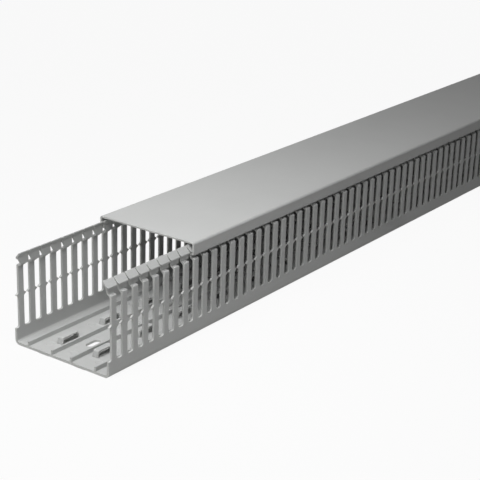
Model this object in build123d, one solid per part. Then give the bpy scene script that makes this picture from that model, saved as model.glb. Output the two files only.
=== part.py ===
from build123d import *
import os

# Slotted cable trunking: an open channel with comb-like side walls, and a cover that clips onto
# the heads of the comb's fingers and slides along them.
# Millimetres. X runs along the length, Y across and Z up.
# The origin is the middle of the channel's underside, which lies on Z = 0.

# Stock size
stock_length = 1000.0
channel_width = 100.0
channel_height = 80.0

# Channel section
floor_thickness = 2.2
wall_thickness = 2.0
bottom_corner_radius = 4.0
inner_corner_radius = 2.0

# Ribs that stand on the floor along its length
rib_height = 4.0
rib_thickness = 1.6
inner_rib_offset = 10.2
outer_rib_offset = 35.6

# Slots that leave the side walls as fingers, with a pair of pointed nubs in each slot
slot_pitch = 12.5
slot_width = 6.5
slot_bottom_height = 14.0
nub_height = 42.0
nub_gap = 0.9
nub_root = 3.6
slit_width = 0.8

# Snap heads on the fingers: a neck stands on the shoulders, and the lip starts at its top
neck_height = 4.5
jog_height = 3.0
neck_thickness = 1.7
head_reach_inward = 1.6
head_reach_drop = 3.0
lip_thickness = 1.3

# Cover
cover_overhang = 0.2
cover_top_thickness = 1.7
cover_side_thickness = 1.5
cover_side_height = 10.8
cover_corner_radius = 2.2
hook_thickness = 1.4
hook_reach = 1.6
cover_pull_back = 102.0

# Clearance of the cover from the heads that it slides on
cover_gap = 0.35

# Cutters run this far past the faces that they leave through
cutter_overrun = 1.0

# The floor's pattern repeats with every fourth slot
floor_pattern_pitch = 4 * slot_pitch

# Oblong screw holes along the middle of the floor, in every second pattern
screw_hole_width = 6.5
screw_hole_length = 15.0
screw_hole_start = 3 * slot_pitch
screw_hole_pitch = 2 * floor_pattern_pitch

# Bridges for cable ties, lanced out of the floor and pressed up, in one line along each side
bridge_offset = 19.0
bridge_start = 28.5
bridge_width = 5.6
bridge_opening_length = 18.0
bridge_opening_height = 4.6
bridge_thickness = 1.3
bridge_leg_run = 1.5

# Places worked out from the sizes above
near_end = -stock_length / 2
half_width = channel_width / 2
wall_inner = half_width - wall_thickness
cover_top = channel_height + cover_gap + cover_top_thickness
cover_half_width = half_width + cover_overhang
cover_inner = cover_half_width - cover_side_thickness
cover_bottom = cover_top - cover_side_height
hook_top = cover_bottom + hook_thickness
hook_tip = cover_inner - hook_reach
lip_outer = cover_inner - cover_gap
lip_underside = hook_top + cover_gap
shoulder_height = lip_underside - neck_height
neck_outer = hook_tip - cover_gap
neck_inner = neck_outer - neck_thickness
head_tip = neck_inner - head_reach_inward


def rib_outline(offset):
    """The points (Y, Z) of one rib's section, from its outer foot to its inner foot."""
    outer = offset + rib_thickness / 2
    inner = offset - rib_thickness / 2
    top = floor_thickness + rib_height
    return [(outer, floor_thickness), (outer, top), (inner, top), (inner, floor_thickness)]


def channel_half_outline():
    """One half of the channel's section as points (Y, Z), round the wall and back along the floor."""
    outside = [(0, 0), (half_width, 0), (half_width, shoulder_height)]
    head = [
        (neck_outer, shoulder_height),
        (neck_outer, lip_underside),
        (lip_outer, lip_underside),
        (lip_outer, lip_underside + lip_thickness),
        (head_tip, channel_height),
        (neck_inner, channel_height - head_reach_drop),
        (neck_inner, shoulder_height),
    ]
    inside = [(wall_inner, shoulder_height - jog_height), (wall_inner, floor_thickness)]
    ribs = rib_outline(outer_rib_offset) + rib_outline(inner_rib_offset)
    return outside + head + inside + ribs + [(0, floor_thickness)]


def corner_at(face, y, z):
    """The vertex of a (Y, Z) face that is nearest to a point."""
    return min(face.vertices(), key=lambda v: (v.X - y) ** 2 + (v.Y - z) ** 2)


def mirrored(half):
    """A whole section from the half of it on the positive side of the middle."""
    return half + mirror(half, about=Plane.YZ)


def along_length(section):
    """Stand a (Y, Z) face upright at the near end and extrude it over the stock length."""
    upright = Plane(origin=(near_end, 0, 0), x_dir=(0, 1, 0), z_dir=(1, 0, 0)) * section
    return extrude(upright, amount=stock_length, dir=(1, 0, 0))


def channel_section():
    half = make_face(Polyline(*channel_half_outline(), close=True))
    half = fillet(corner_at(half, half_width, 0), bottom_corner_radius)
    half = fillet(corner_at(half, wall_inner, floor_thickness), inner_corner_radius)
    return mirrored(half)


def slot_outline():
    """Outline of one slot as a face, X along the trunking and Y for height.

    The wide part ends level with the fingers' shoulders, and a slit goes on up between the heads.
    """
    side = slot_width / 2
    slit = slit_width / 2
    edge = [
        (side, slot_bottom_height),
        (side, nub_height - nub_root / 2),
        (nub_gap / 2, nub_height),
        (side, nub_height + nub_root / 2),
        (side, shoulder_height),
        (slit, shoulder_height),
        (slit, channel_height + cutter_overrun),
    ]
    other_edge = [(-x, z) for x, z in reversed(edge)]
    return make_face(Polyline(*edge, *other_edge, close=True))


def slot_cutters():
    """One cutter for each slot: it runs right across the channel, through both walls."""
    count = int(stock_length // slot_pitch) + 1
    cutter = extrude(Plane.XZ * slot_outline(), amount=half_width + cutter_overrun, both=True)
    return [Pos(near_end + i * slot_pitch, 0, 0) * cutter for i in range(count)]


def places_along(start, pitch):
    """X of each repeat of a floor feature, the first one start away from the near end."""
    count = int((stock_length - start) // pitch) + 1
    return [near_end + start + i * pitch for i in range(count)]


def screw_holes():
    hole = extrude(SlotOverall(screw_hole_length, screw_hole_width), amount=floor_thickness)
    return [Pos(x, 0, 0) * hole for x in places_along(screw_hole_start, screw_hole_pitch)]


def bridge_places():
    """Where each bridge stands on the floor's underside plane."""
    return [Pos(x, side * bridge_offset, 0)
            for x in places_along(bridge_start, floor_pattern_pitch) for side in (-1, 1)]


def bridge_opening():
    """The hole that a bridge leaves in the floor, and the room under its strap, as one cutter."""
    foot = bridge_opening_length / 2
    top = foot - bridge_leg_run
    outline = Polyline((-foot, 0), (foot, 0), (foot, floor_thickness),
                       (top, floor_thickness + bridge_opening_height),
                       (-top, floor_thickness + bridge_opening_height),
                       (-foot, floor_thickness), close=True)
    return extrude(Plane.XZ * make_face(outline), amount=bridge_width / 2, both=True)


def bridge_strap():
    """A bridge as a full block, before its opening is cut."""
    foot = bridge_opening_length / 2 + bridge_thickness
    top = foot - bridge_leg_run
    rise = floor_thickness + bridge_opening_height + bridge_thickness
    outline = Polyline((-foot, floor_thickness), (foot, floor_thickness), (top, rise), (-top, rise),
                       close=True)
    return extrude(Plane.XZ * make_face(outline), amount=bridge_width / 2, both=True)


def base_channel():
    channel = along_length(channel_section())
    channel = channel - slot_cutters() - screw_holes()
    strap = bridge_strap()
    opening = bridge_opening()
    channel = channel + [place * strap for place in bridge_places()]
    return channel - [place * opening for place in bridge_places()]


def cover_section():
    """Section of the cover as a (Y, Z) face, with a hooked lip along each side."""
    half = make_face(Polyline(
        (0, cover_top),
        (cover_half_width, cover_top),
        (cover_half_width, cover_bottom),
        (hook_tip, cover_bottom),
        (hook_tip, hook_top),
        (cover_inner, hook_top),
        (cover_inner, cover_top - cover_top_thickness),
        (0, cover_top - cover_top_thickness),
        close=True,
    ))
    half = fillet(corner_at(half, cover_half_width, cover_top), cover_corner_radius)
    return mirrored(half)


def cover():
    """The cover, pulled back along the heads so that the near end stands open."""
    return Pos(cover_pull_back, 0, 0) * along_length(cover_section())


os.makedirs("parts", exist_ok=True)
export_step(base_channel(), "parts/base_channel.step")
export_step(cover(), "parts/cover.step")
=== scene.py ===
"""Looks of the slotted cable trunking: the channel with its comb walls and floor, and the cover."""

import math

import bmesh
import bpy
from bpy.props import FloatProperty, FloatVectorProperty, PointerProperty
from mathutils import Matrix, Vector
from mathutils.geometry import delaunay_2d_cdt


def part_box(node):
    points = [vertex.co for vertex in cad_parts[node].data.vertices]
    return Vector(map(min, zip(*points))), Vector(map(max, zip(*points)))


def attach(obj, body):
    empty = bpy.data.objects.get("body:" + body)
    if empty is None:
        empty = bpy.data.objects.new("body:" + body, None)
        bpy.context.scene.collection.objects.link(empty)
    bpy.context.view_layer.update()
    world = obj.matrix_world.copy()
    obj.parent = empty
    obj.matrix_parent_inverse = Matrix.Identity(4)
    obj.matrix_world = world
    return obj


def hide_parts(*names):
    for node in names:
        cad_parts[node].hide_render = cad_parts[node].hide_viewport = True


bl_info = {
    "name": "Slotted cable trunking",
    "version": (1, 0, 0),
    "blender": (4, 5, 0),
    "location": "3D View > Sidebar > Trunking",
    "description": "Comb-walled cable trunking with its clip-on cover, in extruded rigid PVC",
    "category": "Object",
}

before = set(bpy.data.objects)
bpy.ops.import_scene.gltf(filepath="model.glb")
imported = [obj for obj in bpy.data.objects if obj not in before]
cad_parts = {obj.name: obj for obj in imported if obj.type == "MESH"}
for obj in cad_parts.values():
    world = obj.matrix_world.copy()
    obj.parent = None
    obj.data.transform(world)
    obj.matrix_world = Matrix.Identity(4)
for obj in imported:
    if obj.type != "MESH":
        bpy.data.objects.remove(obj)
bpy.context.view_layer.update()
CHANNEL_LOW, CHANNEL_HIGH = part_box("base_channel")
COVER_LOW, COVER_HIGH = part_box("cover")

# Lengths are metres in Blender and millimetres in the section and outline code
MM = 0.001

# Finishes of a face, in the order of the material slots
SKIN, PUNCHED, SAWN = range(3)

# The comb is welded to the floor's walls this far below the slot bottoms, and points that lie
# nearer than the weld distance become one
WELD_DROP = 2.0
WELD_DISTANCE = 0.005

# Radii of the comb's rounded edges
NUB_ROOT_RADIUS = 0.8
NUB_POINT_RADIUS = 0.4
SHOULDER_RADIUS = 1.5
NECK_FOOT_RADIUS = 0.28
JOG_RADIUS = 1.6
INNER_NECK_RADIUS = 1.0

# Depths of the small steps at the foot of a neck, outside and inside
OUTER_STEP = 0.3
INNER_STEP = 0.4

# Radii of a head's edges, from the neck over the lip and the tip and back to the neck
LIP_ROOT_RADIUS = 0.35
LIP_LOW_RADIUS = 0.3
LIP_HIGH_RADIUS = 0.5
TIP_TOP_RADIUS = 0.4
TIP_LOW_RADIUS = 0.5
UNDERCUT_RADIUS = 0.9

# Radii and edge breaks of the floor's features
RIB_FOOT_RADIUS = 0.5
RIB_TOP_RADIUS = 0.45
STRAP_OUTER_RADIUS = 1.6
STRAP_INNER_RADIUS = 0.9
STRAP_EDGE = 0.3
HOLE_EDGE = 0.3

# Radii of the cover's section, from the foot of its side round the hook to the ceiling
SIDE_FOOT_RADIUS = 0.35
HOOK_LOW_RADIUS = 0.45
HOOK_HIGH_RADIUS = 0.4
HOOK_ROOT_RADIUS = 0.3
CEILING_RADIUS = 0.8
SAWN_EDGE = 0.2

# Size of each finish's pattern along the length, across it and up
DIE_LINES = (260, 1.4, 1.4)
CLOUDS = (38, 38, 38)
SKIN_GRAIN = (0.5, 0.5, 0.5)
TEAR_LINES = (0.8, 6, 0.8)
SAW_MARKS = (3.2, 3.2, 3.2)
PAPER_FIBRES = (2, 2, 2)

# Depth of each finish's pattern
DIE_LINE_DEPTH = 0.03
SKIN_GRAIN_DEPTH = 0.01
TEAR_DEPTH = 0.05
SAW_MARK_DEPTH = 0.06

# Rigid PVC: how much it bends light, and the roughness of each finish. The die lines make the
# extruded skin rougher and smoother than its mean by the spread.
PVC_IOR = 1.53
CHANNEL_ROUGHNESS = 0.62
COVER_ROUGHNESS = 0.60
ROUGHNESS_SPREAD = 0.08
PUNCHED_ROUGHNESS = 0.6
SAWN_ROUGHNESS = 0.68

# Faces that meet at less than this angle, in degrees, are shaded as one rounded surface
SMOOTH_ANGLE = 50

# Studio floor, in metres: half its side, and how far it lies below the trunking. Of what is seen
# of it, this share is plain white, and the rest is lit paper with its shadows.
FLOOR_REACH = 9.0
FLOOR_DROP = 0.0002
WHITE_SHARE = 0.94

# Light from the white surroundings, as a share of what they show as a background
SKY_LIGHT = 0.05

# Lamps: place and target in metres, diameter in metres, spread in degrees and power in watts
LAMPS = {
    "key_lamp": ((-0.85, -0.1, 0.6), (-0.45, 0.0, 0.05), 0.4, 180, 1.9),
    "top_lamp": ((-0.7, 0.1, 0.8), (-0.45, 0.0, 0.05), 0.5, 100, 1.25),
    "front_lamp": ((-0.35, -0.35, 0.75), (-0.42, 0.0, 0.05), 0.5, 90, 0.4),
    "side_lamp": ((-0.62, -0.22, 0.42), (-0.44, 0.0, 0.05), 0.3, 120, 0.16),
}

# Camera fitted to the photograph's edges: place in metres, directions, and lens in millimetres
CAMERA_PLACE = (-1.18952, -0.66638, 0.46194)
CAMERA_AHEAD = (0.75943, 0.54767, -0.35117)
CAMERA_RIGHT = (0.59361, -0.80421, 0.02951)
CAMERA_LENS = 100.554
CAMERA_SENSOR = 36.0
CAMERA_FAR = 50.0


def in_mm(value):
    """A length property in millimetres, free of single-precision noise."""
    return round(value / MM, 4)


def length(name, description, default):
    """A length property whose default is given in millimetres."""
    return FloatProperty(name=name, description=description, default=default * MM, min=0.0,
                         unit="LENGTH", subtype="DISTANCE", precision=4)


def linear(code):
    """Linear colour with alpha from an sRGB hex value."""
    parts = [int(code[i:i + 2], 16) / 255 for i in (1, 3, 5)]
    return tuple(c / 12.92 if c <= 0.04045 else ((c + 0.055) / 1.055) ** 2.4 for c in parts) + (1.0,)


def colour(name, description, code):
    return FloatVectorProperty(name=name, description=description, subtype="COLOR", size=4,
                               default=linear(code), min=0.0, max=1.0)


class CombSizes(bpy.types.PropertyGroup):
    pitch: length("Slot pitch", "Distance from slot to slot", 12.5)
    finger_width: length("Finger width", "Width of a finger between two slots", 6.0)
    slit: length("Head slit", "Gap between the tops of two heads", 0.8)
    slit_depth: length("Slit depth", "Depth of the slit's narrow top", 4.5)
    slit_corner: length("Slit corner", "Height over the shoulders where the slit is widest", 1.5)
    slit_lean: length("Slit lean", "Distance by which the slit's near side leans over the slot", 0.45)
    slot_bottom: length("Slot bottom", "Height of the slot bottoms over the underside", 14.0)
    slot_corner: length("Slot corner", "Radius of a slot's bottom corners", 1.9)
    nub_height: length("Nub height", "Height of the nubs over the underside", 42.0)
    nub_root: length("Nub root", "Height of a nub where it grows from the finger", 3.6)
    nub_gap: length("Nub gap", "Gap between the points of two nubs", 0.9)
    wall: length("Wall thickness", "Thickness of the comb walls", 2.0)
    shoulder: length("Shoulder height", "Height of the fingers' shoulders", 68.5)
    jog: length("Jog", "Height over which the inner face steps in under the heads", 2.0)
    neck_outer: length("Neck outside", "Distance of the necks' outer faces from the middle", 46.75)
    neck_inner: length("Neck inside", "Distance of the necks' inner faces from the middle", 45.05)
    lip: length("Lip", "Distance of the heads' outer lips from the middle", 48.35)
    tip: length("Tip", "Distance of the heads' inner tips from the middle", 43.45)
    lip_low: length("Lip underside", "Height of the lips' undersides", 73.0)
    lip_high: length("Lip top", "Height at which the heads' sloping tops start", 74.3)
    tip_depth: length("Tip depth", "Depth of the blunt tips below the heads' tops", 1.7)
    undercut: length("Undercut", "Depth below the heads' tops where the undercut meets the neck", 5.0)
    edge: length("Edge break", "Width of the worn break on the punched edges", 0.28)


class FloorSizes(bpy.types.PropertyGroup):
    pattern: length("Pattern", "Length over which the floor's pattern repeats", 100.0)
    thickness: length("Floor thickness", "Thickness of the floor", 2.2)
    corner: length("Bottom corner", "Outer radius of the bottom corners", 4.0)
    inner_corner: length("Inner corner", "Inner radius of the bottom corners", 2.0)
    rib_height: length("Rib height", "Height of the ribs over the floor", 4.0)
    rib_width: length("Rib thickness", "Thickness of the ribs", 1.6)
    inner_rib: length("Inner ribs", "Distance of the inner ribs from the middle", 10.2)
    outer_rib: length("Outer ribs", "Distance of the outer ribs from the middle", 35.6)
    bridge_line: length("Bridges", "Distance of the tie bridges from the middle", 19.0)
    bridge_start: length("First bridge", "Distance of the first bridges from the near end", 28.5)
    bridge_step: length("Bridge pitch", "Distance from bridge to bridge", 50.0)
    bridge_width: length("Bridge width", "Width of a tie bridge", 5.6)
    bridge_length: length("Bridge opening", "Length of the opening under a bridge", 18.0)
    bridge_rise: length("Bridge rise", "Height of the opening over the floor", 4.6)
    bridge_strap: length("Strap thickness", "Thickness of a bridge's strap", 1.3)
    bridge_run: length("Leg run", "Length over which a bridge's leg rises", 1.5)
    hole_start: length("Screw hole place", "Distance of a screw hole from the pattern's start", 37.5)
    hole_width: length("Screw hole width", "Width of the oblong screw holes", 6.5)
    hole_length: length("Screw hole length", "Length of the oblong screw holes", 15.0)
    mark_radius: length("Pilot mark", "Radius of the shallow round pilot marks", 4.3)
    mark_groove: length("Pilot mark groove", "Half the width of a pilot mark's groove", 0.8)
    mark_depth: length("Pilot mark depth", "Depth of a pilot mark's groove", 0.5)
    mark_start: length("First pilot mark", "Distance of the first pilot marks from the near end", 15.0)
    mark_step: length("Pilot mark pitch", "Distance from pilot mark to pilot mark", 25.0)
    mark_line: length("Pilot mark lines", "Distance of the outer pilot marks from the middle", 26.2)


class CoverSizes(bpy.types.PropertyGroup):
    top: length("Top thickness", "Thickness of the cover's top", 1.7)
    side: length("Side thickness", "Thickness of the cover's sides", 1.5)
    corner: length("Corner radius", "Outer radius of the long top edges", 2.2)
    hook: length("Hook thickness", "Thickness of the hooked lips", 1.4)
    reach: length("Hook reach", "Reach of the hooked lips inwards", 1.6)


class Finish(bpy.types.PropertyGroup):
    pvc: colour("PVC grey", "Colour of the extruded rigid PVC", "#B4B5B4")
    cut: colour("Cut PVC", "Colour of punched and sawn PVC faces", "#BFC0BE")
    floor: colour("Studio floor", "Colour of the floor the trunking lies on", "#B9B9B8")


# Outlines

def unit(v):
    size = math.hypot(*v)
    return (v[0] / size, v[1] / size)


def rounded(corners, step=22.5):
    """An open outline from (a, b, radius) corners, with an arc in place of each corner.

    Each stretch of an arc turns by no more than the step, in degrees.
    """
    outline = [corners[0][:2]]
    for before, here, after in zip(corners, corners[1:], corners[2:]):
        radius = here[2]
        if radius == 0:
            outline.append(here[:2])
            continue
        back = unit((before[0] - here[0], before[1] - here[1]))
        on = unit((after[0] - here[0], after[1] - here[1]))
        half = math.acos(max(-1, min(1, back[0] * on[0] + back[1] * on[1]))) / 2
        reach = radius / math.tan(half)
        middle = unit((back[0] + on[0], back[1] + on[1]))
        centre = [here[i] + middle[i] * radius / math.sin(half) for i in (0, 1)]
        first = [here[i] + back[i] * reach - centre[i] for i in (0, 1)]
        last = [here[i] + on[i] * reach - centre[i] for i in (0, 1)]
        turn = math.pi - 2 * half
        if first[0] * last[1] - first[1] * last[0] < 0:
            turn = -turn
        count = max(2, math.ceil(abs(math.degrees(turn)) / step))
        for k in range(count + 1):
            c, s = math.cos(turn * k / count), math.sin(turn * k / count)
            outline.append((centre[0] + c * first[0] - s * first[1],
                            centre[1] + s * first[0] + c * first[1]))
    outline.append(corners[-1][:2])
    return outline


def offset(outline, distance, closed=False):
    """The outline moved to its left by a distance."""
    moved = []
    last = len(outline) - 1
    for i, here in enumerate(outline):
        before = outline[i - 1] if i or closed else None
        after = outline[(i + 1) % len(outline)] if i < last or closed else None
        sides = []
        if before:
            sides.append(unit((here[0] - before[0], here[1] - before[1])))
        if after:
            sides.append(unit((after[0] - here[0], after[1] - here[1])))
        normals = [(-d[1], d[0]) for d in sides]
        mean = unit((sum(n[0] for n in normals), sum(n[1] for n in normals)))
        stretch = distance / max(0.5, mean[0] * normals[0][0] + mean[1] * normals[0][1])
        moved.append((here[0] + mean[0] * stretch, here[1] + mean[1] * stretch))
    return moved


class Skin:
    """Points and faces of a piece in millimetres, each face with its finish."""

    def __init__(self):
        self.points = {}
        self.faces = []
        self.finishes = []

    def point(self, place):
        key = tuple(round(c, 4) + 0.0 for c in place)
        return self.points.setdefault(key, len(self.points))

    def face(self, places, finish=SKIN):
        loop = []
        for place in places:
            index = self.point(place)
            if index not in loop:
                loop.append(index)
        if len(loop) > 2:
            self.faces.append(loop)
            self.finishes.append(finish)

    def strip(self, row, other, finish=SKIN):
        """Faces between two rows of points that run side by side."""
        for a, b, c, d in zip(row, row[1:], other[1:], other):
            self.face((a, b, c, d), finish)

    def mirror(self):
        """Add the same faces on the other side of the middle, Y = 0."""
        places = list(self.points)
        for loop, finish in list(zip(self.faces, self.finishes)):
            self.face([(places[i][0], -places[i][1], places[i][2]) for i in reversed(loop)], finish)

    def panel(self, outline, holes, height, finish=SKIN):
        """A level face at a height inside a closed (x, y) outline, less the outlines of its holes."""
        loops = [outline, *holes]
        flat = [Vector(p) for loop in loops for p in loop]
        starts = [sum(len(loop) for loop in loops[:i]) for i in range(len(loops))]
        rings = [[start + k for k in range(len(loop))] for start, loop in zip(starts, loops)]
        places, _, triangles, _, _, sources = delaunay_2d_cdt(flat, [], rings, 1, 1e-5)
        for triangle, source in zip(triangles, sources):
            if 0 in source and len(source) == 1:
                self.face([(places[i].x, places[i].y, height) for i in triangle], finish)

    def object(self, name):
        mesh = bpy.data.meshes.new(name)
        mesh.from_pydata([tuple(c * MM for c in p) for p in self.points], [], self.faces)
        finish = mesh.attributes.new("finish", "INT", "FACE")
        finish.data.foreach_set("value", self.finishes)
        mesh.update()
        piece = bpy.data.objects.new(name, mesh)
        bpy.context.scene.collection.objects.link(piece)
        return piece


# Node trees

def add_node(tree, kind, inputs=None, **settings):
    """A node with its settings, and its inputs set to values or linked to sockets."""
    node = tree.nodes.new(kind)
    for name, value in settings.items():
        setattr(node, name, value)
    for key, value in (inputs or {}).items():
        if isinstance(value, bpy.types.NodeSocket):
            tree.links.new(value, node.inputs[key])
        else:
            node.inputs[key].default_value = value
    return node


def new_material(name):
    material = bpy.data.materials.new(name)
    material.use_nodes = True
    material.node_tree.nodes.clear()
    return material


def pattern_place(tree, spacing):
    """Object coordinates scaled so that one unit is the given spacing in millimetres on each axis."""
    place = add_node(tree, "ShaderNodeTexCoord").outputs["Object"]
    scale = tuple(1 / (s * MM) for s in spacing)
    return add_node(tree, "ShaderNodeMapping", {"Vector": place, "Scale": scale}).outputs["Vector"]


def shade_of(tree, colour_value, pattern, spread):
    """The colour made darker and lighter by a pattern from 0 to 1, by a share either way."""
    level = add_node(tree, "ShaderNodeMapRange",
                     {"Value": pattern, "To Min": 1 - spread, "To Max": 1 + spread})
    return add_node(tree, "ShaderNodeVectorMath",
                    {0: tuple(colour_value)[:3], "Scale": level.outputs["Result"]},
                    operation="SCALE").outputs["Vector"]


def finish_material(tree, base, roughness, bump):
    """The shader of rigid PVC: a dielectric with a satin skin."""
    shader = add_node(tree, "ShaderNodeBsdfPrincipled",
                      {"Base Color": base, "Roughness": roughness, "IOR": PVC_IOR, "Normal": bump})
    add_node(tree, "ShaderNodeOutputMaterial", {"Surface": shader.outputs["BSDF"]})


def extruded_pvc(name, grey, mean_roughness):
    """Extruded rigid PVC: a satin grey skin with faint die lines along the length.

    The eye gets soft highlights, lines that run from end to end and a slight cloudiness.
    Real die lines are 0.2 to 0.5 mm apart; they are drawn 1.4 mm apart so that they show.
    """
    material = new_material(name)
    tree = material.node_tree
    lines = add_node(tree, "ShaderNodeTexNoise",
                     {"Vector": pattern_place(tree, DIE_LINES), "Scale": 1.0, "Detail": 2.0,
                      "Roughness": 0.55}).outputs["Fac"]
    clouds = add_node(tree, "ShaderNodeTexNoise",
                      {"Vector": pattern_place(tree, CLOUDS), "Scale": 1.0, "Detail": 3.0,
                       "Roughness": 0.5}).outputs["Fac"]
    grain = add_node(tree, "ShaderNodeTexNoise",
                     {"Vector": pattern_place(tree, SKIN_GRAIN), "Scale": 1.0, "Detail": 1.0}
                     ).outputs["Fac"]
    both = add_node(tree, "ShaderNodeMix", {"Factor": 0.5, "A": lines, "B": clouds},
                    data_type="FLOAT").outputs["Result"]
    base = shade_of(tree, grey, both, 0.07)
    roughness = add_node(tree, "ShaderNodeMapRange",
                         {"Value": lines, "To Min": mean_roughness - ROUGHNESS_SPREAD,
                          "To Max": mean_roughness + ROUGHNESS_SPREAD}).outputs["Result"]
    line_bump = add_node(tree, "ShaderNodeBump",
                         {"Height": lines, "Distance": DIE_LINE_DEPTH * MM, "Strength": 0.6})
    bump = add_node(tree, "ShaderNodeBump",
                    {"Height": grain, "Distance": SKIN_GRAIN_DEPTH * MM, "Strength": 0.5,
                     "Normal": line_bump.outputs["Normal"]})
    finish_material(tree, base, roughness, bump.outputs["Normal"])
    return material


def punched_pvc(grey):
    """PVC where a punch has sheared it: paler, matt, with fine tear lines through the thickness."""
    material = new_material("punched_rigid_pvc")
    tree = material.node_tree
    tears = add_node(tree, "ShaderNodeTexNoise",
                     {"Vector": pattern_place(tree, TEAR_LINES), "Scale": 1.0, "Detail": 2.0}
                     ).outputs["Fac"]
    base = shade_of(tree, grey, tears, 0.08)
    bump = add_node(tree, "ShaderNodeBump",
                    {"Height": tears, "Distance": TEAR_DEPTH * MM, "Strength": 0.7})
    finish_material(tree, base, PUNCHED_ROUGHNESS, bump.outputs["Normal"])
    return material


def sawn_pvc(grey):
    """PVC at the sawn ends: pale and matt, with saw marks about a millimetre apart."""
    material = new_material("sawn_rigid_pvc")
    tree = material.node_tree
    marks = add_node(tree, "ShaderNodeTexWave",
                     {"Vector": pattern_place(tree, SAW_MARKS), "Scale": 1.0, "Distortion": 2.5,
                      "Detail": 2.0, "Detail Scale": 1.5}, bands_direction="DIAGONAL").outputs["Fac"]
    base = shade_of(tree, grey, marks, 0.07)
    bump = add_node(tree, "ShaderNodeBump",
                    {"Height": marks, "Distance": SAW_MARK_DEPTH * MM, "Strength": 0.6})
    finish_material(tree, base, SAWN_ROUGHNESS, bump.outputs["Normal"])
    return material


def repeat_tree():
    """Geometry nodes that repeat the comb's pitch and the floor's pattern and weld them together."""
    tree = bpy.data.node_groups.new("repeat_along_trunking", "GeometryNodeTree")
    face = tree.interface
    face.new_socket("Geometry", in_out="INPUT", socket_type="NodeSocketGeometry")
    for part in ("Comb", "Floor"):
        face.new_socket(part, in_out="INPUT", socket_type="NodeSocketObject")
        face.new_socket(part + " count", in_out="INPUT", socket_type="NodeSocketInt")
        face.new_socket(part + " pitch", in_out="INPUT", socket_type="NodeSocketFloat")
        face.new_socket(part + " start", in_out="INPUT", socket_type="NodeSocketFloat")
    face.new_socket("Weld distance", in_out="INPUT", socket_type="NodeSocketFloat")
    for finish in ("Skin", "Punched"):
        face.new_socket(finish, in_out="INPUT", socket_type="NodeSocketMaterial")
    face.new_socket("Geometry", in_out="OUTPUT", socket_type="NodeSocketGeometry")
    given = tree.nodes.new("NodeGroupInput").outputs
    rows = []
    for part in ("Comb", "Floor"):
        start = add_node(tree, "ShaderNodeCombineXYZ", {"X": given[part + " start"]})
        step = add_node(tree, "ShaderNodeCombineXYZ", {"X": given[part + " pitch"]})
        line = add_node(tree, "GeometryNodeMeshLine",
                        {"Count": given[part + " count"], "Start Location": start.outputs[0],
                         "Offset": step.outputs[0]}, mode="OFFSET")
        module = add_node(tree, "GeometryNodeObjectInfo", {"Object": given[part], "As Instance": True})
        rows.append(add_node(tree, "GeometryNodeInstanceOnPoints",
                             {"Points": line.outputs["Mesh"], "Instance": module.outputs["Geometry"]}))
    joined = tree.nodes.new("GeometryNodeJoinGeometry")
    for row in rows:
        tree.links.new(row.outputs["Instances"], joined.inputs["Geometry"])
    real = add_node(tree, "GeometryNodeRealizeInstances", {"Geometry": joined.outputs["Geometry"]})
    welded = add_node(tree, "GeometryNodeMergeByDistance",
                      {"Geometry": real.outputs["Geometry"], "Distance": given["Weld distance"]})
    skin = add_node(tree, "GeometryNodeSetMaterial",
                    {"Geometry": welded.outputs["Geometry"], "Material": given["Skin"]})
    finish = add_node(tree, "GeometryNodeInputNamedAttribute", {"Name": "finish"}, data_type="INT")
    is_punched = add_node(tree, "FunctionNodeCompare",
                          {2: finish.outputs["Attribute"], 3: PUNCHED},
                          data_type="INT", operation="EQUAL")
    punched = add_node(tree, "GeometryNodeSetMaterial",
                       {"Geometry": skin.outputs["Geometry"], "Material": given["Punched"],
                        "Selection": is_punched.outputs["Result"]})
    add_node(tree, "NodeGroupOutput", {"Geometry": punched.outputs["Geometry"]})
    return tree


# Geometry of the pieces

def comb_half_pitch_outline(sizes):
    """Edge of a finger as (x, z), from the middle of the slot's bottom up past the nub."""
    half_pitch = in_mm(sizes.pitch) / 2
    half_finger = in_mm(sizes.finger_width) / 2
    bottom = in_mm(sizes.slot_bottom)
    nub = in_mm(sizes.nub_height)
    root = in_mm(sizes.nub_root) / 2
    tip = half_pitch - in_mm(sizes.nub_gap) / 2
    # The outline ends where the flank above the nub has long been straight
    end = nub + 3 * root
    return rounded([
        (half_pitch, bottom, 0),
        (half_finger, bottom, in_mm(sizes.slot_corner)),
        (half_finger, nub - root, NUB_ROOT_RADIUS),
        (tip, nub, NUB_POINT_RADIUS),
        (half_finger, nub + root, NUB_ROOT_RADIUS),
        (half_finger, end, 0),
    ], step=24)


def with_heights(path, heights):
    """The open (y, z) path with a point added wherever it crosses one of the heights."""
    full = [path[0]]
    for start, end in zip(path, path[1:]):
        crossed = [h for h in heights if min(start[1], end[1]) < h < max(start[1], end[1])]
        for h in sorted(crossed, reverse=start[1] > end[1]):
            share = (h - start[1]) / (end[1] - start[1])
            full.append((start[0] + share * (end[0] - start[0]), h))
        full.append(end)
    return full


def head_outline(sizes):
    """Section of a snap head as (y, z), from the neck's outer foot over the lip and the tip."""
    shoulder = in_mm(sizes.shoulder)
    top = CHANNEL_HIGH.z / MM
    neck_out, neck_in = in_mm(sizes.neck_outer), in_mm(sizes.neck_inner)
    lip, tip = in_mm(sizes.lip), in_mm(sizes.tip)
    return rounded([
        (neck_out, shoulder, 0),
        (neck_out, in_mm(sizes.lip_low), LIP_ROOT_RADIUS),
        (lip, in_mm(sizes.lip_low), LIP_LOW_RADIUS),
        (lip, in_mm(sizes.lip_high), LIP_HIGH_RADIUS),
        (tip, top, TIP_TOP_RADIUS),
        (tip, top - in_mm(sizes.tip_depth), TIP_LOW_RADIUS),
        (neck_in, top - in_mm(sizes.undercut), UNDERCUT_RADIUS),
        (neck_in, shoulder, 0),
    ])


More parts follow.
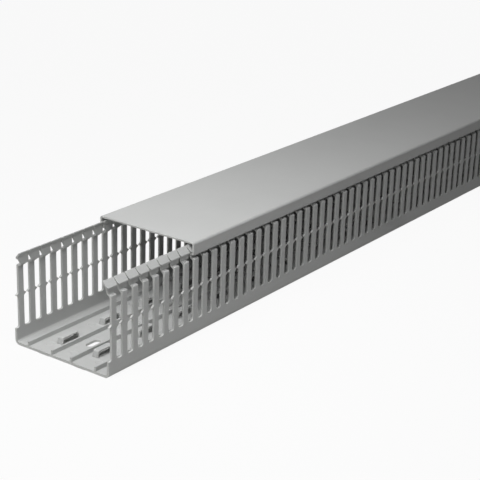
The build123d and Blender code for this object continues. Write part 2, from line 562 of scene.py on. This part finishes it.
def finger_skin(sizes):
    """One pitch of the comb on both walls: a finger with its nubs, shoulder and snap head."""
    skin = Skin()
    edge = in_mm(sizes.edge)
    half_pitch = in_mm(sizes.pitch) / 2
    half_finger = in_mm(sizes.finger_width) / 2
    half_head = half_pitch - in_mm(sizes.slit) / 2
    break_x = half_finger - edge
    outside = CHANNEL_HIGH.y / MM
    inside = outside - in_mm(sizes.wall)
    shoulder = in_mm(sizes.shoulder)
    join = in_mm(sizes.slot_bottom) - WELD_DROP
    flank = comb_half_pitch_outline(sizes)
    flank_in = offset(flank, edge)
    top_of_flank = flank[-1][1]

    head = head_outline(sizes)
    neck_out, neck_in = head[0][0], head[-1][0]
    outer_foot, inner_foot = shoulder - OUTER_STEP, shoulder - INNER_STEP
    outer = rounded([(outside, join, 0), (outside, outer_foot, SHOULDER_RADIUS),
                     (neck_out, outer_foot, NECK_FOOT_RADIUS), (neck_out, shoulder, 0)])
    inner = rounded([(inside, join, 0), (inside, inner_foot - in_mm(sizes.jog), JOG_RADIUS),
                     (neck_in, inner_foot, INNER_NECK_RADIUS), (neck_in, shoulder, 0)])
    outer_up = [(outside, top_of_flank)] + outer[1:]
    inner_up = [(inside, top_of_flank)] + inner[1:]

    # Punched flanks, from the slot's bottom past the nub
    for sign in (-1, 1):
        rows = [
            [(sign * x, outside, z) for x, z in flank_in],
            [(sign * x, outside - edge, z) for x, z in flank],
            [(sign * x, inside + edge, z) for x, z in flank],
            [(sign * x, inside, z) for x, z in flank_in],
        ]
        for row, other in zip(rows, rows[1:]):
            skin.strip(row, other, PUNCHED)

    # The slit is narrow at the top. Below that the head's far side leans out over the slot, and
    # its near side slopes in to the finger's flank.
    top = CHANNEL_HIGH.z / MM
    knees = (shoulder + in_mm(sizes.slit_corner), top - in_mm(sizes.slit_depth))
    lean = in_mm(sizes.slit_lean)

    def near_x(z, back=0.0):
        share = min(1, max(0, (z - knees[0]) / (knees[1] - knees[0])))
        return back - half_finger - share * (half_head - half_finger)

    def far_x(z, back=0.0):
        share = max(0, (knees[1] - z) / (knees[1] - shoulder))
        return half_head + share * lean - back

    # Far side: the flank above the nub, then the head's underside beside it and the head's side
    outer_cut, inner_cut = offset(outer_up, edge), offset(inner_up, -edge)
    for path, cut in ((outer_up, outer_cut), (inner_up, inner_cut)):
        skin.strip([(break_x, *p) for p in path], [(half_finger, *p) for p in cut], PUNCHED)
    skin.face([(half_finger, *p) for p in outer_cut + inner_cut[::-1]], PUNCHED)
    along = with_heights(head, knees)
    head_cut = with_heights(offset(head, edge), knees)
    skin.strip([(far_x(z, edge), y, z) for y, z in along],
               [(far_x(z), y, z) for y, z in head_cut], PUNCHED)
    for low, high in ((0, knees[1]), (knees[1], top)):
        skin.face([(far_x(z), y, z) for y, z in head_cut if low <= z <= high], PUNCHED)
    rim_x, side_x = far_x(shoulder, edge), far_x(shoulder)
    skin.face([(break_x, *head[0]), (rim_x, *head[0]), (side_x, *head_cut[0]),
               (side_x, *head_cut[-1]), (rim_x, *head[-1]), (break_x, *head[-1]),
               (half_finger, *inner_cut[-1]), (half_finger, *outer_cut[-1])], PUNCHED)

    # Near side, from the flank above the nub to the head's tip
    around = outer_up + head[1:-1] + inner_up[::-1]
    rim = with_heights(around, knees)
    side = with_heights(offset(around, edge), knees)
    skin.strip([(near_x(z, edge), y, z) for y, z in rim],
               [(near_x(z), y, z) for y, z in side], PUNCHED)
    for low, high in zip((0, *knees), (*knees, top)):
        skin.face([(near_x(z), y, z) for y, z in side if low <= z <= high], PUNCHED)

    # Flat outer and inner faces of the finger with the wall below it
    for y, path in ((outside, outer), (inside, inner)):
        flat_top = path[1][1]
        right = [(half_pitch, y, join)] + [(x, y, z) for x, z in flank_in] + [(break_x, y, flat_top)]
        left = [(-x, y, z) for x, y, z in reversed(right)]
        skin.face(right + left)
        skin.strip([(-break_x, *p) for p in path[1:]], [(break_x, *p) for p in path[1:]])
    # Faces of the head along the trunking
    rows = list(zip(along, along[1:]))
    for k, (low, high) in enumerate(rows):
        corners = [(near_x(low[1], edge), *low), (far_x(low[1], edge), *low),
                   (far_x(high[1], edge), *high), (near_x(high[1], edge), *high)]
        if k == 0:
            corners.insert(1, (break_x, *low))
        if k == len(rows) - 1:
            corners.insert(3, (break_x, *high))
        skin.face(corners)
    skin.mirror()
    return skin


def rib_corners(middle, half, foot, top):
    """Section corners of a rib, from its outer foot to its inner foot."""
    return [(middle + half, foot, RIB_FOOT_RADIUS), (middle + half, top, RIB_TOP_RADIUS),
            (middle - half, top, RIB_TOP_RADIUS), (middle - half, foot, RIB_FOOT_RADIUS)]


def oblong(x, y, long, wide, steps=10):
    """Closed outline of an oblong hole with round ends, round the point (x, y)."""
    radius = wide / 2
    reach = long / 2 - radius
    outline = []
    for side in (1, -1):
        for k in range(steps + 1):
            angle = math.pi * (k / steps - 0.5)
            outline.append((x + side * (reach + radius * math.cos(angle)),
                            y + side * radius * math.sin(angle)))
    return outline


def ring(x, y, radius, steps=20):
    return [(x + radius * math.cos(2 * math.pi * k / steps),
             y + radius * math.sin(2 * math.pi * k / steps)) for k in range(steps)]


def add_bridge(skin, sizes, x, y):
    """A lanced strap over its hole. Returns the outlines it leaves open, in the floor's two faces."""
    floor = in_mm(sizes.thickness)
    half = in_mm(sizes.bridge_width) / 2
    reach = in_mm(sizes.bridge_length) / 2
    strap = in_mm(sizes.bridge_strap)
    under = floor + in_mm(sizes.bridge_rise)
    run = in_mm(sizes.bridge_run)
    over = rounded([(-reach - strap, floor, 0),
                    (-reach + run - strap, under + strap, STRAP_OUTER_RADIUS),
                    (reach - run + strap, under + strap, STRAP_OUTER_RADIUS),
                    (reach + strap, floor, 0)], step=12)
    below = rounded([(-reach, floor, 0), (-reach + run, under, STRAP_INNER_RADIUS),
                     (reach - run, under, STRAP_INNER_RADIUS), (reach, floor, 0)], step=20)
    over_cut = [over[0]] + offset(over, -STRAP_EDGE)[1:-1] + [over[-1]]
    top_half = [half] + [half - STRAP_EDGE] * (len(over) - 2) + [half]
    for sign in (-1, 1):
        rim = [(x + u, y + sign * w, z) for (u, z), w in zip(over, top_half)]
        side = [(x + u, y + sign * half, z) for u, z in over_cut]
        skin.strip(rim, side, PUNCHED)
        skin.face(side + [(x + u, y + sign * half, z) for u, z in reversed(below)], PUNCHED)
        skin.face([(x - reach, y + sign * half, floor), (x + reach, y + sign * half, floor),
                   (x + reach, y + sign * half, 0), (x - reach, y + sign * half, 0)], PUNCHED)
        skin.face([(x + sign * reach, y - half, floor), (x + sign * reach, y + half, floor),
                   (x + sign * reach, y + half, 0), (x + sign * reach, y - half, 0)], PUNCHED)
    skin.strip([(x + u, y - w, z) for (u, z), w in zip(over, top_half)],
               [(x + u, y + w, z) for (u, z), w in zip(over, top_half)])
    skin.strip([(x + u, y - half, z) for u, z in below], [(x + u, y + half, z) for u, z in below])
    foot = reach + strap
    top = [(x + u, y - half) for u in (-foot, -reach, reach, foot)]
    top += [(x + u, y + half) for u in (foot, reach, -reach, -foot)]
    corners = ((-reach, -half), (reach, -half), (reach, half), (-reach, half))
    bottom = [(x + u, y + v) for u, v in corners]
    return top, bottom


def add_screw_hole(skin, sizes, x):
    """An oblong hole through the floor with its upper edge broken. Returns its two outlines."""
    floor = in_mm(sizes.thickness)
    long, wide = in_mm(sizes.hole_length), in_mm(sizes.hole_width)
    mouth = oblong(x, 0, long + 2 * HOLE_EDGE, wide + 2 * HOLE_EDGE)
    wall = oblong(x, 0, long, wide)
    rows = [[(*p, floor) for p in mouth], [(*p, floor - HOLE_EDGE) for p in wall],
            [(*p, 0) for p in wall]]
    for row, other in zip(rows, rows[1:]):
        skin.strip(row + row[:1], other + other[:1], PUNCHED)
    return mouth, wall


def add_pilot_mark(skin, sizes, x, y):
    """A shallow ring pressed into the floor. Returns its outline."""
    floor = in_mm(sizes.thickness)
    radius = in_mm(sizes.mark_radius)
    width = in_mm(sizes.mark_groove)
    bottom = floor - in_mm(sizes.mark_depth)
    outer, groove, inner = (ring(x, y, radius - d) for d in (0, width, 2 * width))
    rows = [[(*p, floor) for p in outer], [(*p, bottom) for p in groove],
            [(*p, floor) for p in inner]]
    for row, other in zip(rows, rows[1:]):
        skin.strip(row + row[:1], other + other[:1])
    skin.face(rows[-1])
    return outer


def places(start, step, reach):
    """Millimetre places of a floor feature within the pattern's length."""
    count = math.ceil((reach - start) / step)
    return [in_mm(start) + k * in_mm(step) for k in range(count)]


def floor_skin(comb, sizes):
    """One pattern of the floor with its ribs, bridges, screw hole and the walls up to the comb."""
    skin = Skin()
    long = in_mm(sizes.pattern)
    pitch = in_mm(comb.pitch)
    outside = CHANNEL_HIGH.y / MM
    inside = outside - in_mm(comb.wall)
    join = in_mm(comb.slot_bottom) - WELD_DROP
    floor = in_mm(sizes.thickness)
    corner = in_mm(sizes.corner)
    top = floor + in_mm(sizes.rib_height)
    half_rib = in_mm(sizes.rib_width) / 2
    ribs = [in_mm(sizes.outer_rib), in_mm(sizes.inner_rib)]
    outer = rounded([(outside, join, 0), (outside, 0, corner), (0, 0, 0)], step=15)[:-1]
    inner = rounded([(inside, join, 0), (inside, floor, in_mm(sizes.inner_corner))]
                    + [c for rib in ribs for c in rib_corners(rib, half_rib, floor, top)]
                    + [(0, floor, 0)])[:-1]
    level = [p for p in inner if math.isclose(p[1], floor)]
    # The floor between an outer and an inner rib has holes, so it is added as a panel
    side_low, side_high = level[3][0], level[2][0]

    for path in (outer, inner):
        wall_low, wall_top = path[1], path[0]
        columns = [(k * pitch, *wall_top) for k in range(round(long / pitch) + 1)]
        skin.face(columns + [(long, *wall_low), (0, *wall_low)])
    for path in (outer[1:], inner[1:]):
        for a, b in zip(path, path[1:]):
            if (a, b) == (level[2], level[3]):
                continue
            skin.face([(0, *a), (long, *a), (long, *b), (0, *b)])
    skin.mirror()

    bridge_x = places(sizes.bridge_start, sizes.bridge_step, sizes.pattern)
    mark_x = places(sizes.mark_start, sizes.mark_step, sizes.pattern)
    hole_x = in_mm(sizes.hole_start)
    line, mark_line = in_mm(sizes.bridge_line), in_mm(sizes.mark_line)
    underside_holes = []
    for sign in (-1, 1):
        holes = [add_pilot_mark(skin, sizes, x, sign * mark_line) for x in mark_x]
        for x in bridge_x:
            over, under = add_bridge(skin, sizes, x, sign * line)
            holes.append(over)
            underside_holes.append(under)
        low, high = sorted((sign * side_low, sign * side_high))
        skin.panel([(0, low), (long, low), (long, high), (0, high)], holes, floor)
    mouth, wall = add_screw_hole(skin, sizes, hole_x)
    middle = level[-1][0]
    clear_marks = [x for x in mark_x if abs(x - hole_x) > in_mm(sizes.hole_length)]
    holes = [add_pilot_mark(skin, sizes, x, 0) for x in clear_marks] + [mouth]
    skin.panel([(0, -middle), (long, -middle), (long, middle), (0, middle)], holes, floor)
    flat = outer[-1][0]
    skin.panel([(0, -flat), (long, -flat), (long, flat), (0, flat)], underside_holes + [wall], 0)
    return skin


def plain_mesh(carrier, name):
    """The object's geometry as its modifiers leave it, as a plain mesh without them."""
    bpy.context.view_layer.update()
    graph = bpy.context.evaluated_depsgraph_get()
    mesh = bpy.data.meshes.new_from_object(carrier.evaluated_get(graph), depsgraph=graph)
    mesh.name = name
    carrier.modifiers.clear()
    carrier.data = mesh
    return mesh


def use_finishes(mesh, materials):
    """Give the mesh one material for each finish, and each face the one of its finish."""
    kinds = [value.value for value in mesh.attributes["finish"].data]
    mesh.materials.clear()
    for material in materials:
        mesh.materials.append(material)
    mesh.polygons.foreach_set("material_index", kinds)


def close_and_shade(mesh):
    """Close the sawn ends, turn every face outwards and smooth the rounded edges."""
    shell = bmesh.new()
    shell.from_mesh(mesh)
    ends = [e for e in shell.edges if e.is_boundary]
    made = bmesh.ops.holes_fill(shell, edges=ends, sides=0)
    for face in made["faces"]:
        face.material_index = SAWN
    bmesh.ops.recalc_face_normals(shell, faces=shell.faces)
    for face in shell.faces:
        face.smooth = True
    shell.to_mesh(mesh)
    shell.free()
    mesh.set_sharp_from_angle(angle=math.radians(SMOOTH_ANGLE))


def weigh_normals(piece):
    """Let the large flat faces set the normals of the small rounded ones beside them."""
    modifier = piece.modifiers.new("even shading", "WEIGHTED_NORMAL")
    modifier.mode = "FACE_AREA"
    modifier.weight = 50
    modifier.keep_sharp = True
    plain_mesh(piece, piece.name)


class TRUNKING_OT_channel(bpy.types.Operator):
    """Build the channel: both comb walls and the floor, as one skin"""
    bl_idname = "trunking.channel"
    bl_label = "Build channel"

    def execute(self, context):
        comb = context.scene.trunking_comb
        sizes = context.scene.trunking_floor
        finish = context.scene.trunking_finish
        finger = finger_skin(comb).object("finger_module")
        floor = floor_skin(comb, sizes).object("floor_module")
        piece = bpy.data.objects.new("channel_body", bpy.data.meshes.new("channel_body"))
        context.scene.collection.objects.link(piece)
        tree = repeat_tree()
        modifier = piece.modifiers.new("repeat along the trunking", "NODES")
        modifier.node_group = tree
        stock = CHANNEL_HIGH.x - CHANNEL_LOW.x
        given = {
            "Comb": finger,
            "Comb count": round(stock / comb.pitch),
            "Comb pitch": comb.pitch,
            "Comb start": CHANNEL_LOW.x + comb.pitch / 2,
            "Floor": floor,
            "Floor count": round(stock / sizes.pattern),
            "Floor pitch": sizes.pattern,
            "Floor start": CHANNEL_LOW.x,
            "Weld distance": WELD_DISTANCE * MM,
            "Skin": extruded_pvc("extruded_rigid_pvc", finish.pvc, CHANNEL_ROUGHNESS),
            "Punched": punched_pvc(finish.cut),
        }
        for socket in tree.interface.items_tree:
            if socket.in_out == "INPUT" and socket.name in given:
                modifier[socket.identifier] = given[socket.name]
        mesh = plain_mesh(piece, "channel_body")
        for module in (finger, floor):
            bpy.data.objects.remove(module)
        use_finishes(mesh, (given["Skin"], given["Punched"], sawn_pvc(finish.cut)))
        close_and_shade(mesh)
        weigh_normals(piece)
        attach(piece, "channel")
        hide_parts("base_channel")
        return {"FINISHED"}


class TRUNKING_OT_cover(bpy.types.Operator):
    """Build the cover with its hooked lips, pulled back along the heads"""
    bl_idname = "trunking.cover"
    bl_label = "Build cover"

    def execute(self, context):
        sizes = context.scene.trunking_cover
        finish = context.scene.trunking_finish
        skin = Skin()
        half, top, bottom = (v / MM for v in (COVER_HIGH.y, COVER_HIGH.z, COVER_LOW.z))
        inner = half - in_mm(sizes.side)
        ceiling = top - in_mm(sizes.top)
        hook = bottom + in_mm(sizes.hook)
        tip = inner - in_mm(sizes.reach)
        right = rounded([
            (0, top, 0),
            (half, top, in_mm(sizes.corner)),
            (half, bottom, SIDE_FOOT_RADIUS),
            (tip, bottom, HOOK_LOW_RADIUS),
            (tip, hook, HOOK_HIGH_RADIUS),
            (inner, hook, HOOK_ROOT_RADIUS),
            (inner, ceiling, CEILING_RADIUS),
            (0, ceiling, 0),
        ], step=18)[1:-1]
        section = right + [(-y, z) for y, z in reversed(right)]
        cut = offset(section, -SAWN_EDGE, closed=True)
        near, far = COVER_LOW.x / MM, COVER_HIGH.x / MM
        rows = [[(near, *p) for p in cut], [(near + SAWN_EDGE, *p) for p in section],
                [(far - SAWN_EDGE, *p) for p in section], [(far, *p) for p in cut]]
        for k, (row, other) in enumerate(zip(rows, rows[1:])):
            skin.strip(row + row[:1], other + other[:1], SKIN if k == 1 else SAWN)
        skin.face(rows[0], SAWN)
        skin.face(rows[-1], SAWN)
        piece = skin.object("cover_body")
        skin_material = extruded_pvc("extruded_rigid_pvc_cover", finish.pvc, COVER_ROUGHNESS)
        use_finishes(piece.data, (skin_material, punched_pvc(finish.cut), sawn_pvc(finish.cut)))
        close_and_shade(piece.data)
        weigh_normals(piece)
        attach(piece, "cover")
        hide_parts("cover")
        return {"FINISHED"}


class TRUNKING_OT_stage(bpy.types.Operator):
    """Set up the pale floor, the soft lamps and the camera"""
    bl_idname = "trunking.stage"
    bl_label = "Build stage"

    def execute(self, context):
        scene = context.scene
        mesh = bpy.data.meshes.new("studio_floor")
        corners = ((-1, -1), (1, -1), (1, 1), (-1, 1))
        mesh.from_pydata([(FLOOR_REACH * x, FLOOR_REACH * y, -FLOOR_DROP) for x, y in corners],
                         [], [(0, 1, 2, 3)])
        floor = bpy.data.objects.new("studio_floor", mesh)
        scene.collection.objects.link(floor)
        mesh.materials.append(studio_white(scene.trunking_finish.floor, scene.trunking_floor))
        white_world(scene, SKY_LIGHT)
        for name, settings in LAMPS.items():
            add_lamp(name, *settings)
        add_camera(scene)
        scene.view_settings.view_transform = "Standard"
        return {"FINISHED"}


def calculate(tree, operation, *values):
    """The result of a maths node, each value a number or a socket."""
    return add_node(tree, "ShaderNodeMath", dict(enumerate(values)), operation=operation).outputs[0]


def seen_directly(tree):
    """1 where a ray comes from the camera or a mirror-like or clear surface, otherwise 0."""
    path = add_node(tree, "ShaderNodeLightPath").outputs
    reflected = calculate(tree, "MAXIMUM", path["Is Glossy Ray"], path["Is Transmission Ray"])
    return calculate(tree, "MAXIMUM", path["Is Camera Ray"], reflected)


def open_floor(tree, sizes):
    """1 on the open studio floor, and 0 in the shade of the cover and of the bridges' straps."""
    place = add_node(tree, "ShaderNodeTexCoord").outputs["Object"]
    axes = add_node(tree, "ShaderNodeSeparateXYZ", {"Vector": place}).outputs
    aside = calculate(tree, "ABSOLUTE", axes["Y"])
    under_channel = calculate(tree, "MULTIPLY",
                              calculate(tree, "COMPARE", axes["X"], 0.0, CHANNEL_HIGH.x),
                              calculate(tree, "LESS_THAN", aside, CHANNEL_HIGH.y - sizes.corner))
    under_cover = calculate(tree, "GREATER_THAN", axes["X"], COVER_LOW.x)
    under_strap = calculate(tree, "COMPARE", aside, sizes.bridge_line, sizes.bridge_width)
    shade = calculate(tree, "MULTIPLY", under_channel,
                      calculate(tree, "MAXIMUM", under_cover, under_strap))
    return calculate(tree, "SUBTRACT", 1.0, shade)


def studio_white(base, sizes):
    """Matt studio floor that shows nearly white and keeps a faint shadow."""
    material = new_material("studio_paper")
    tree = material.node_tree
    fibres = add_node(tree, "ShaderNodeTexNoise",
                      {"Vector": pattern_place(tree, PAPER_FIBRES), "Scale": 1.0}).outputs["Fac"]
    paper = add_node(tree, "ShaderNodeBsdfDiffuse", {"Color": shade_of(tree, base, fibres, 0.01)})
    glow = add_node(tree, "ShaderNodeEmission", {"Color": (1, 1, 1, 1), "Strength": 1.0})
    seen = calculate(tree, "MULTIPLY", seen_directly(tree), open_floor(tree, sizes))
    share = calculate(tree, "MULTIPLY", seen, WHITE_SHARE)
    mix = add_node(tree, "ShaderNodeMixShader", {0: share, 1: paper.outputs[0], 2: glow.outputs[0]})
    add_node(tree, "ShaderNodeOutputMaterial", {"Surface": mix.outputs[0]})
    return material


def white_world(scene, strength):
    """Even white surroundings, dimmer as light than as background."""
    world = bpy.data.worlds.new("studio")
    world.use_nodes = True
    tree = world.node_tree
    tree.nodes.clear()
    level = add_node(tree, "ShaderNodeMapRange",
                     {"Value": seen_directly(tree), "To Min": strength, "To Max": 1.0})
    sky = add_node(tree, "ShaderNodeBackground",
                   {"Color": (1, 1, 1, 1), "Strength": level.outputs["Result"]})
    add_node(tree, "ShaderNodeOutputWorld", {"Surface": sky.outputs[0]})
    scene.world = world


def add_lamp(name, place, target, size, spread, power):
    """A round soft lamp, with the spread of its light in degrees."""
    lamp = bpy.data.lights.new(name, "AREA")
    lamp.shape = "DISK"
    lamp.size = size
    lamp.spread = math.radians(spread)
    lamp.energy = power
    holder = bpy.data.objects.new(name, lamp)
    holder.location = place
    holder.rotation_euler = (Vector(target) - Vector(place)).to_track_quat("-Z", "Y").to_euler()
    bpy.context.scene.collection.objects.link(holder)


def add_camera(scene):
    """The photograph's view: about 54 degrees round from the front and 21 degrees down."""
    camera = bpy.data.cameras.new("photo_camera")
    camera.lens = CAMERA_LENS
    camera.sensor_width = CAMERA_SENSOR
    camera.clip_end = CAMERA_FAR
    ahead = Vector(CAMERA_AHEAD).normalized()
    right = Vector(CAMERA_RIGHT).normalized()
    up = right.cross(ahead)
    turn = Matrix((right, up, -ahead)).transposed().to_4x4()
    holder = bpy.data.objects.new("photo_camera", camera)
    holder.matrix_world = Matrix.Translation(CAMERA_PLACE) @ turn
    scene.collection.objects.link(holder)
    scene.camera = holder


class TRUNKING_PT_panel(bpy.types.Panel):
    """Sizes and colours of the trunking, with the operators that build it"""
    bl_label = "Cable trunking"
    bl_idname = "TRUNKING_PT_panel"
    bl_space_type = "VIEW_3D"
    bl_region_type = "UI"
    bl_category = "Trunking"

    def draw(self, context):
        for name in ("trunking_comb", "trunking_floor", "trunking_cover", "trunking_finish"):
            group = getattr(context.scene, name)
            box = self.layout.box()
            for key in group.bl_rna.properties.keys():
                if key not in ("rna_type", "name"):
                    box.prop(group, key)
        for operator in OPERATORS:
            self.layout.operator(operator.bl_idname)


GROUPS = {
    "trunking_comb": CombSizes,
    "trunking_floor": FloorSizes,
    "trunking_cover": CoverSizes,
    "trunking_finish": Finish,
}
OPERATORS = (TRUNKING_OT_stage, TRUNKING_OT_channel, TRUNKING_OT_cover)


def register():
    for group in (*GROUPS.values(), *OPERATORS, TRUNKING_PT_panel):
        bpy.utils.register_class(group)
    for name, group in GROUPS.items():
        setattr(bpy.types.Scene, name, PointerProperty(type=group))


def unregister():
    for name in GROUPS:
        delattr(bpy.types.Scene, name)
    for group in (TRUNKING_PT_panel, *OPERATORS, *GROUPS.values()):
        bpy.utils.unregister_class(group)


def main():
    register()
    bpy.ops.trunking.stage()
    bpy.ops.trunking.channel()
    bpy.ops.trunking.cover()


if __name__ == "__main__":
    main()
